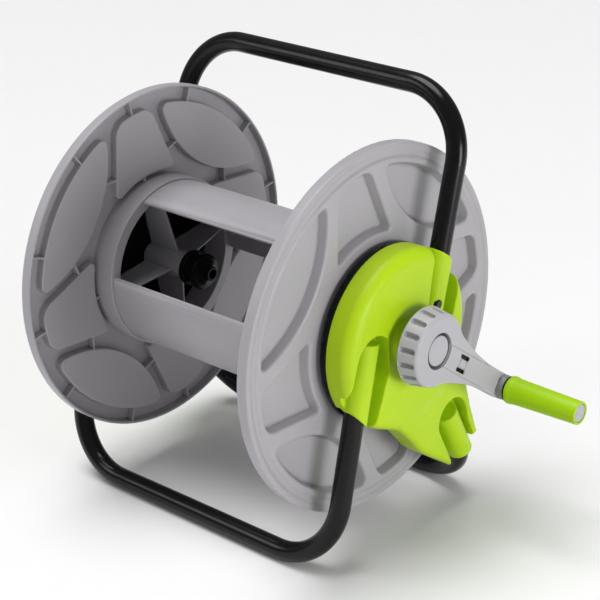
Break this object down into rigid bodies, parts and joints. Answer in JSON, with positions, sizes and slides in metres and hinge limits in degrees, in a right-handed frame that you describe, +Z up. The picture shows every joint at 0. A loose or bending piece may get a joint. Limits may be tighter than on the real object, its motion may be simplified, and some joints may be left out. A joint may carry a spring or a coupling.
{
  "type": "garden hose reel",
  "caption": "Free-standing hose reel: cranked drum between two dished flanges, green side covers clamping a bent steel tube frame, water inlet on the axle.",
  "frame": {"origin": "on the floor, at the bottom centre of the whole object's box", "axes": "+X along the reel axis towards the crank, +Y to the back, +Z up"},
  "size_m": [0.5742, 0.393, 0.475],
  "materials": {
    "frame_paint": "gloss black powder coat on steel tube",
    "green_plastic": "satin-gloss lime green moulded plastic",
    "grip_plastic": "satin green moulded grip",
    "black_plastic": "satin black moulded plastic",
    "bearing_plastic": "natural low-friction plastic",
    "zinc_steel": "zinc-plated steel",
    "black_screw": "black-finished steel",
    "grey_plastic": "satin mid-grey moulded plastic",
    "crank_plastic": "satin light grey moulded plastic",
    "dark_grey_plastic": "satin grey moulded plastic",
    "seal_rubber": "soft black seal rubber"
  },
  "bodies": {
    "frame": {"handle_tube": "frame_paint", "front_foot_tube": "frame_paint", "rear_foot_tube": "frame_paint", "right_cover": "green_plastic", "left_cover": "green_plastic", "right_back_plate": "black_plastic", "left_back_plate": "black_plastic", "right_bearing": "bearing_plastic", "left_bearing": "bearing_plastic", "leg_screws": "zinc_steel", "handle_screws": "black_screw", "cover_screws": "zinc_steel"},
    "reel": {"left_flange": "grey_plastic", "right_flange": "grey_plastic", "upper_stave": "grey_plastic", "lower_stave": "grey_plastic", "water_axle": "dark_grey_plastic", "axle_pin": "zinc_steel", "connector_nut": "black_plastic", "hose_connector": "black_plastic", "connector_seal": "seal_rubber", "crank_shaft": "dark_grey_plastic", "shaft_pin": "zinc_steel", "crank_body": "crank_plastic", "crank_strip": "crank_plastic", "crank_screw": "zinc_steel", "crank_cap": "crank_plastic", "grip_spindle": "dark_grey_plastic", "grip_ring": "black_plastic", "grip_washer": "zinc_steel", "grip_screw": "zinc_steel"},
    "grip": {"grip_sleeve": "grip_plastic", "grip_plug": "crank_plastic"},
    "inlet": {"inlet_elbow": "black_plastic", "inlet_clip": "zinc_steel", "inlet_seals": "seal_rubber", "inlet_nut": "green_plastic", "inlet_connector": "black_plastic"}
  },
  "joints": [
    {"name": "reel_spin", "type": "hinge", "parent": "frame", "child": "reel", "pos_m": [-0.05115, 0, 0.235], "axis": [1, 0, 0], "continuous": true},
    {"name": "grip_spin", "type": "hinge", "parent": "reel", "child": "grip", "pos_m": [0.23885, 0.11415, 0.15054], "axis": [1, 0, 0], "continuous": true},
    {"name": "inlet_swivel", "type": "hinge", "parent": "frame", "child": "inlet", "pos_m": [-0.27315, 0, 0.235], "axis": [1, 0, 0], "continuous": true}
  ]
}
